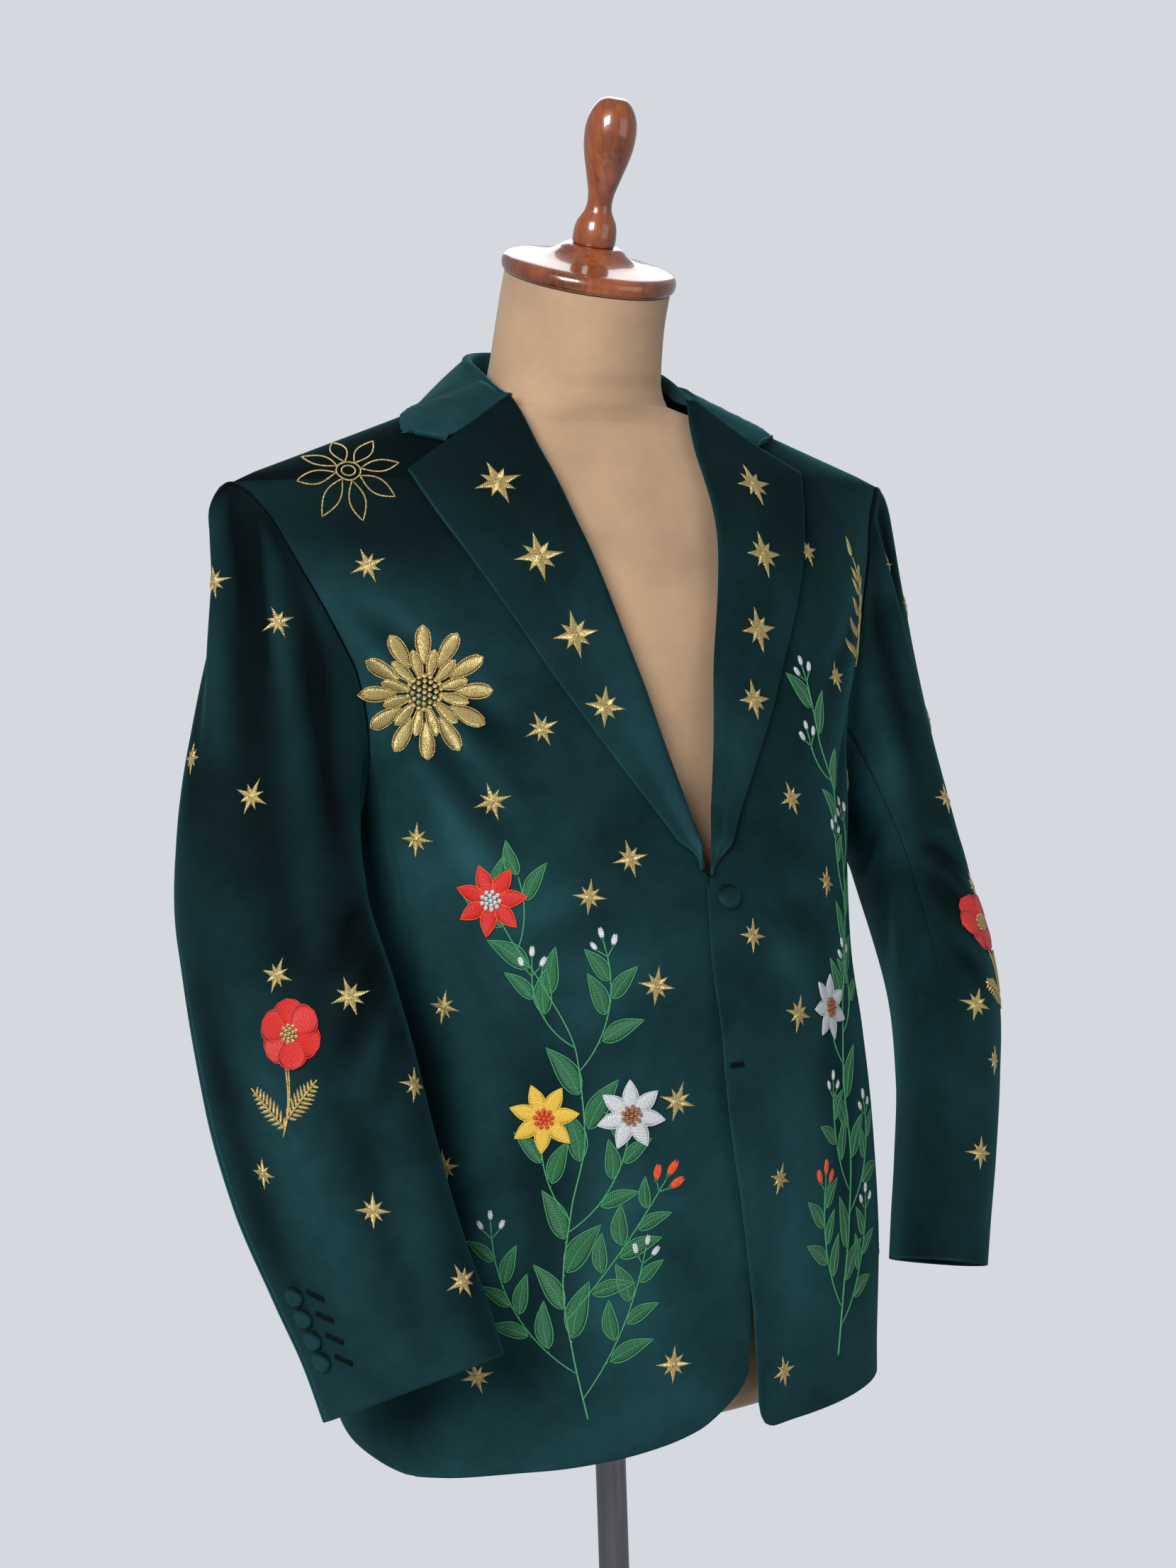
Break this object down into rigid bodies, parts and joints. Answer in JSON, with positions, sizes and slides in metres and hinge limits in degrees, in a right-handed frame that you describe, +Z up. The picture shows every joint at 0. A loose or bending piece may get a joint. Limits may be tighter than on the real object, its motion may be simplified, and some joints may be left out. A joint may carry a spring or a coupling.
{
  "type": "western suit jacket on a dress form",
  "caption": "Dark green velvet western suit jacket with notched lapels and covered buttons, worn by a limbless dress form on a pole and round base.",
  "frame": {"origin": "centre of the underside of the stand's round base", "axes": "+Z up, -Y the way the jacket faces, +X the wearer's left"},
  "size_m": [0.6204, 0.3535, 1.7196],
  "materials": {
    "back_left": "matt velvet",
    "back_right": "matt velvet",
    "base": "satin black",
    "collar": "matt velvet",
    "cuff_button_left_1": "velvet over a button mould",
    "cuff_button_left_2": "velvet over a button mould",
    "cuff_button_left_3": "velvet over a button mould",
    "cuff_button_left_4": "velvet over a button mould",
    "cuff_button_right_1": "velvet over a button mould",
    "cuff_button_right_2": "velvet over a button mould",
    "cuff_button_right_3": "velvet over a button mould",
    "cuff_button_right_4": "velvet over a button mould",
    "finial": "glossy varnish",
    "form_torso": "matt linen",
    "front_button_lower": "velvet over a button mould",
    "front_button_upper": "velvet over a button mould",
    "front_left": "matt velvet",
    "front_right": "matt velvet",
    "lapel_left": "matt velvet",
    "lapel_right": "matt velvet",
    "neck_cap": "glossy varnish",
    "pole": "satin",
    "side_left": "matt velvet",
    "side_right": "matt velvet",
    "top_sleeve_left": "matt velvet",
    "top_sleeve_right": "matt velvet",
    "under_sleeve_left": "matt velvet",
    "under_sleeve_right": "matt velvet"
  },
  "bodies": {
    "root": {"back_left": "back_left", "back_right": "back_right", "base": "base", "collar": "collar", "cuff_button_left_1": "cuff_button_left_1", "cuff_button_left_2": "cuff_button_left_2", "cuff_button_left_3": "cuff_button_left_3", "cuff_button_left_4": "cuff_button_left_4", "cuff_button_right_1": "cuff_button_right_1", "cuff_button_right_2": "cuff_button_right_2", "cuff_button_right_3": "cuff_button_right_3", "cuff_button_right_4": "cuff_button_right_4", "finial": "finial", "form_torso": "form_torso", "front_button_lower": "front_button_lower", "front_button_upper": "front_button_upper", "front_left": "front_left", "front_right": "front_right", "lapel_left": "lapel_left", "lapel_right": "lapel_right", "neck_cap": "neck_cap", "pole": "pole", "side_left": "side_left", "side_right": "side_right", "top_sleeve_left": "top_sleeve_left", "top_sleeve_right": "top_sleeve_right", "under_sleeve_left": "under_sleeve_left", "under_sleeve_right": "under_sleeve_right"}
  },
  "joints": []
}
